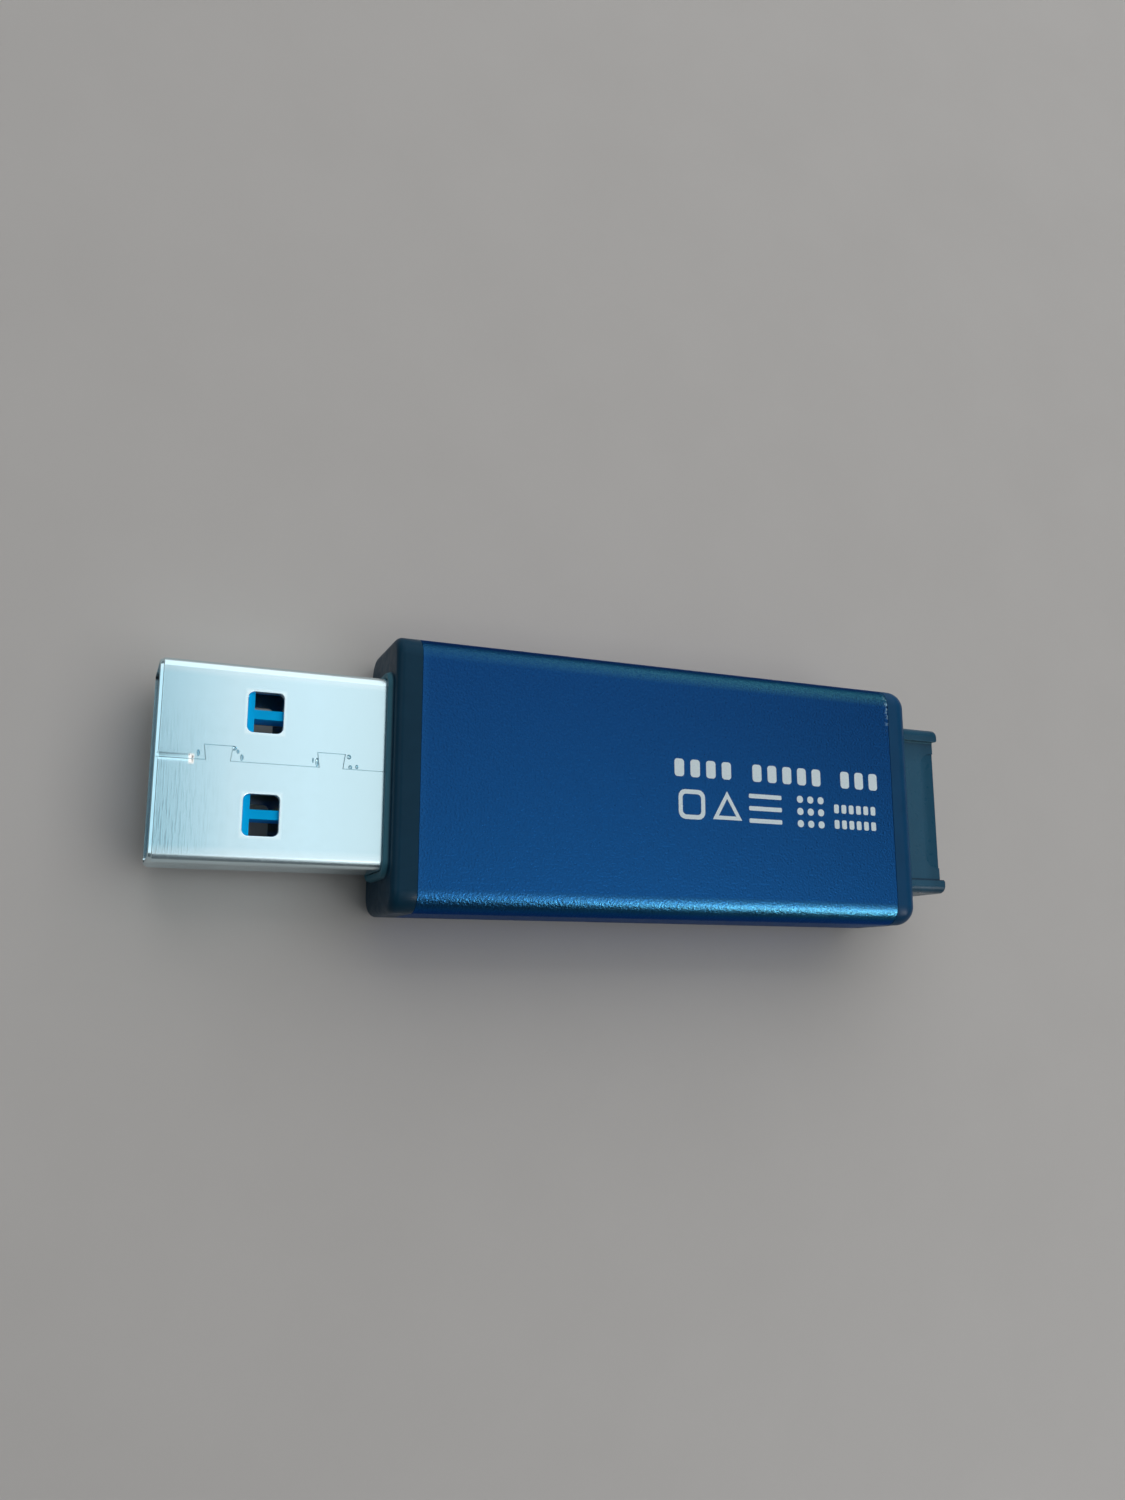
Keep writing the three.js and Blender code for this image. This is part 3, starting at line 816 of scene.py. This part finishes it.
def plug_tongue():
    """The moulding that carries the contacts: a slot for each sprung arm and a bed for each flat one."""
    face, top, front, back = TONGUE_LOW.z, TONGUE_HIGH.z, TONGUE_HIGH.x, TONGUE_LOW.x
    nose, lower_nose, corner, below, behind = 0.3, 0.5, 0.35, -1, back - 1
    bed_depth, grow = (below, face + 0.28), 0.04
    section = (TONGUE_HIGH.y, top, corner)
    stations = [(front, grown(section, -nose)), (front - nose, section), (back, section)]
    tongue = loft("tongue", stations, closed=False)
    underneath = [(front + 1, face + nose), (front, face + nose), (front - lower_nose, face), (behind, face),
                  (behind, -4), (front + 1, -4)]
    cutters = [prism("below", underneath, -7, 7, axis="y")]

    def opening(name, x, y, half_width, z):
        cutters.append(block(name, x, (y - half_width, y + half_width), z))

    for y in SPRING_Y:
        opening("slot", (behind, -7.4), y, 0.45, (below, 1.15))
        if y:
            opening("pocket", (-8.2, -5.52), y, 0.72, (below, top + 1))
    for side, pad, neck, start in FLAT_CONTACTS.values():
        opening("pad bed", (-5.45 - grow, -start + grow), side * pad, 0.5 + grow, bed_depth)
        opening("neck bed", (behind, -4.65 + grow), side * neck, 0.25 + grow, bed_depth)
    combined(tongue, cutters)
    bevelled(tongue, 0.03, segments=2)
    piece(tongue, TONGUE, stands_for=["plug_tongue"])


# ---------------------------------------------------------------- CAD nodes that keep their shape


def finish_node(name, material, bevel=0.03):
    node = frame["nodes"][name]
    node.data.materials.clear()
    node.data.materials.append(material)
    modifier = node.modifiers.new("bevel", "BEVEL")
    modifier.width = bevel * MM
    modifier.segments = 2
    modifier.limit_method = "ANGLE"
    modifier.angle_limit = math.radians(30)


def inner_parts():
    """Gives each CAD node that no piece stands for the material of its slot."""
    slots = {
        "contact": GOLD,
        "board": BOARD,
        "carrier": CARRIER,
        "package": PACKAGE,
        "ceramic": CERAMIC,
        "can": CAN,
    }
    rebuilt = {"body_sleeve", "front_bezel", "rear_ring", "cap_post", "plug_shell", "plug_tongue"}
    for part in frame["record"]["subparts"]:
        if part["node"] not in rebuilt:
            finish_node(part["node"], slots.get(part["material_slot"], TONGUE))


# ---------------------------------------------------------------- Print: plain marks, with no lettering

PRINT_RISE = 0.012  # thickness of the ink


def ink(name, shapes):
    """One flat piece on the sleeve's top, from closed outlines of (x, y) points, each with a hole's outline
    or None."""
    levels = (BODY[1], BODY[1] + PRINT_RISE)
    bm = bmesh.new()
    for outer, hole in shapes:
        loops = []
        for points in (outer, hole) if hole else (outer,):
            low, high = ([bm.verts.new((p[0], p[1], z)) for p in points] for z in levels)
            loops.append((low, high))
            bridge(bm, low, high)
        for level in (0, 1):
            if hole:
                bridge(bm, loops[0][level], loops[1][level])
            else:
                bm.faces.new(loops[0][level])
    piece(mesh_object(name, bm), INK)


def bar_shape(x, y, length, width, corner=0.3):
    radius = min(length, width) * corner
    return [Vector((x, y)) + p for p in outline(length / 2, width / 2, radius, steps=4)]


def square_mark(x, y, size, line):
    return bar_shape(x, y, size, size, 0.25), bar_shape(x, y, size - 2 * line, size - 2 * line, 0.2)


def triangle_mark(x, y, size, line):
    """A triangle outline that stands on its base as the print is read."""
    corners = [Vector((math.sin(a), -math.cos(a))) for a in (i * math.tau / 3 for i in range(3))]
    centre, outer = Vector((x, y + size * 0.12)), size * 0.62
    return [centre + c * outer for c in corners], [centre + c * (outer - 2 * line) for c in corners]


def casing_print():
    """A row of short bars, and below it a row of plain shapes, near the rear of the top face."""
    first, last, count, gaps = -33.1, -48.7, 14, (4, 10)
    row_one, row_two = -1.45, 1.0
    pitch = (last - first) / (count - 1)
    places = [first + i * pitch for i in range(count) if i not in gaps]
    ink("print_bars", [(bar_shape(x, row_one, 0.72, 1.2), None) for x in places])
    lines = [(bar_shape(-39.7, row_two + offset, 2.6, 0.3), None) for offset in (-0.85, 0, 0.85)]
    square, triangle = square_mark(-34.0, row_two, 2.0, 0.3), triangle_mark(-36.7, row_two, 2.1, 0.26)
    ink("print_shapes", [square, triangle, *lines])
    places = [(-42.5 - 0.85 * i, row_two + 0.85 * j) for i in range(3) for j in (-1, 0, 1)]
    ink("print_dots", [(bar_shape(x, y, 0.5, 0.5, 0.45), None) for x, y in places])
    places = [(-45.5 - 0.62 * i, row_two + y) for i in range(6) for y in (-0.35, 0.75)]
    ink("print_dashes", [(bar_shape(x, y, 0.4, 0.62), None) for x, y in places])


# ---------------------------------------------------------------- Stage


def floor():
    bm = bmesh.new()
    bmesh.ops.create_grid(bm, x_segments=2, y_segments=2, size=1.5)
    obj = mesh_object("floor", bm)
    surface = Surface("plain floor", (0.60, 0.58, 0.56), 0.7)
    surface.tint(surface.mapped(surface.noise(9, detail=4), 0.35, 0.7, 0, 0.25), (0.54, 0.52, 0.50))
    obj.data.materials.append(surface.material)


def softbox(name, place, aim, size, radiance, only_gloss=False):
    """A rectangular light at place that faces aim, as bright as radiance from any side, and level. With
    only_gloss it shows in reflections and doesn't light matt surfaces."""
    data = bpy.data.lights.new(name, "AREA")
    data.shape = "RECTANGLE"
    data.size, data.size_y = size
    data.energy = radiance * math.pi * size[0] * size[1]
    obj = bpy.data.objects.new(name, data)
    obj.location = place
    obj.visible_diffuse = not only_gloss
    obj.rotation_mode = "QUATERNION"
    obj.rotation_quaternion = (Vector(aim) - Vector(place)).to_track_quat("-Z", "Y")
    bpy.context.scene.collection.objects.link(obj)


def lights():
    world = bpy.data.worlds.new("studio")
    bpy.context.scene.world = world
    world.use_nodes = True
    background = world.node_tree.nodes["Background"]
    background.inputs["Color"].default_value = (0.90, 0.96, 1.0, 1)
    background.inputs["Strength"].default_value = 0.10
    softbox("overhead", (-0.30, 0.02, 0.6), (-0.30, 0.02, 0), (0.62, 0.70), 1.04)
    softbox("window", (-0.15, -0.62, 0.42), (-0.15, 0, 0), (1.1, 0.9), 1.15)
    softbox("near strip, rear", (-0.385, 0.34, 0.36), (-0.385, 0, 0), (0.19, 0.17), 22, only_gloss=True)
    softbox("near strip, high", (-0.42, 0.24, 0.58), (-0.42, -0.1, 0), (0.40, 0.20), 2.6, only_gloss=True)
    softbox("near strip, middle", (-0.20, 0.32, 0.64), (-0.20, 0, 0), (0.13, 0.16), 0.8, only_gloss=True)
    softbox("near strip, front", (-0.13, 0.34, 0.40), (-0.13, 0, 0), (0.09, 0.24), 1.1, only_gloss=True)
    softbox("front", (0.42, -0.05, 0.44), (0, 0, 0), (0.6, 0.46), 1.15, only_gloss=True)


def camera():
    azimuth, elevation, roll = (math.radians(angle) for angle in (27.65, 65.12, -64.63))
    target, distance = Vector((1.921, -2.69, 3.9)) * MM, 79.434 * MM
    back = Vector((
        math.cos(elevation) * math.cos(azimuth),
        math.cos(elevation) * math.sin(azimuth),
        math.sin(elevation),
    ))
    right = (-back).cross(Vector((0, 0, 1))).normalized()
    down = (-back).cross(right)
    right, down = (
        math.cos(roll) * right + math.sin(roll) * down,
        -math.sin(roll) * right + math.cos(roll) * down,
    )
    data = bpy.data.cameras.new("camera")
    data.lens = 28.34
    data.sensor_width = 36
    data.clip_start = 0.002
    obj = bpy.data.objects.new("camera", data)
    turned = Matrix((right, -down, back)).transposed().to_4x4()
    obj.matrix_world = Matrix.Translation(target + back * distance) @ turned
    bpy.context.scene.collection.objects.link(obj)
    bpy.context.scene.camera = obj


camera()
floor()
lights()
body_sleeve()
front_bezel()
rear_ring()
cap_post()
plug_shell()
plug_tongue()
inner_parts()
casing_print()

bpy.context.scene.view_settings.view_transform = "Standard"
